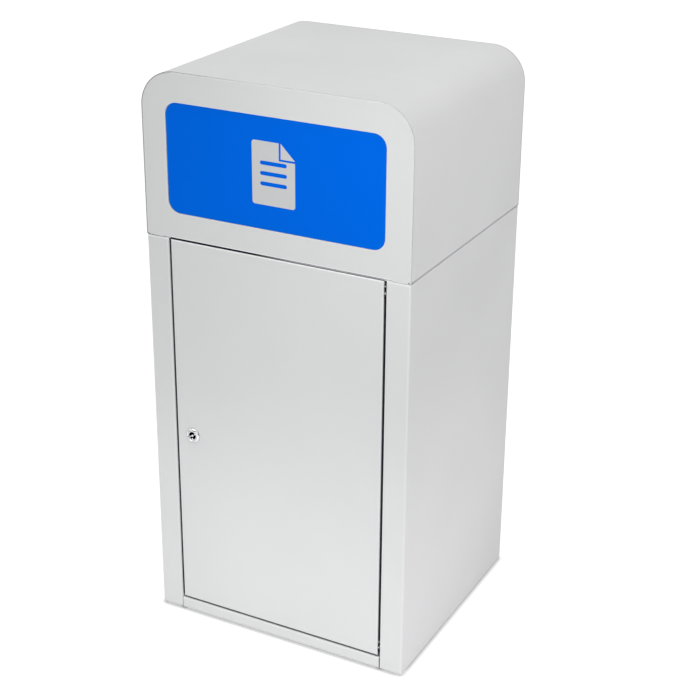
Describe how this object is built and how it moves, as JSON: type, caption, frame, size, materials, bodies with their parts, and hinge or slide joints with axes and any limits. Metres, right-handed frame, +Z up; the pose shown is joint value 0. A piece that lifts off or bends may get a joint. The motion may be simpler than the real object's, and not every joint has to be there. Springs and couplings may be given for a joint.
{
  "type": "waste paper bin",
  "caption": "Free-standing steel recycling bin: folded cabinet with locked hinged door and inner liner, rounded hood with a blue top-hung push flap.",
  "frame": {"origin": "on the floor under the centre of the cabinet", "axes": "+Z up, -Y is the front with the door and flap, +X is to the right seen from the front"},
  "size_m": [0.4, 0.3635, 0.823],
  "materials": {
    "coated_steel": "satin powder coat, light grey white",
    "blue_coat": "satin powder coat, strong blue",
    "zinc_steel": "bright zinc plate",
    "lock_chrome": "polished chrome",
    "galvanised_sheet": "galvanised with a soft spangle",
    "black_rubber": "matt",
    "grey_foam": "matt closed-cell foam",
    "felt": "matt felt",
    "nylon": "satin"
  },
  "bodies": {
    "cabinet": {"body_shell": "coated_steel", "base_pan": "coated_steel", "foot_pads": "black_rubber", "foot_studs": "zinc_steel", "foot_nuts": "zinc_steel", "top_frame": "zinc_steel", "hood_gasket": "grey_foam", "hood_wrap": "coated_steel", "hood_front": "coated_steel", "hood_back": "coated_steel", "hood_screws": "zinc_steel", "hood_nuts": "zinc_steel", "hinge_bracket_low": "coated_steel", "hinge_bracket_high": "coated_steel", "hinge_pins": "zinc_steel", "hinge_washers": "nylon", "door_stops": "zinc_steel", "door_buffers": "black_rubber", "flap_brackets": "zinc_steel", "flap_rod": "zinc_steel", "rod_clips": "zinc_steel", "flap_bumpers": "felt", "inner_liner": "galvanised_sheet", "handle_lugs": "galvanised_sheet"},
    "door": {"door_panel": "coated_steel", "door_stiffener": "zinc_steel", "door_hinge_lugs": "coated_steel", "door_bushes": "nylon", "lock_body": "lock_chrome", "lock_nut": "zinc_steel"},
    "lock_turning": {"lock_core": "lock_chrome", "lock_cam": "zinc_steel", "cam_screw": "zinc_steel"},
    "flap": {"flap_panel": "blue_coat", "flap_weight": "zinc_steel", "flap_bushes": "nylon"},
    "left_handle": {"liner_handle_left": "zinc_steel"},
    "right_handle": {"liner_handle_right": "zinc_steel"}
  },
  "joints": [
    {"name": "door_hinge", "type": "hinge", "parent": "cabinet", "child": "door", "pos_m": [0.155, -0.173, 0.3], "axis": [0, 0, 1], "range_deg": [0, 105]},
    {"name": "lock_turn", "type": "hinge", "parent": "door", "child": "lock_turning", "pos_m": [-0.1363, -0.18, 0.2986], "axis": [0, 1, 0], "range_deg": [0, 90]},
    {"name": "flap_hinge", "type": "hinge", "parent": "cabinet", "child": "flap", "pos_m": [0, -0.172, 0.795], "axis": [1, 0, 0], "range_deg": [0, 85]},
    {"name": "left_handle_hinge", "type": "hinge", "parent": "cabinet", "child": "left_handle", "pos_m": [-0.157, 0.008, 0.505], "axis": [0, 1, 0], "range_deg": [-5, 170]},
    {"name": "right_handle_hinge", "type": "hinge", "parent": "cabinet", "child": "right_handle", "pos_m": [0.157, 0.008, 0.505], "axis": [0, -1, 0], "range_deg": [-5, 170]}
  ]
}
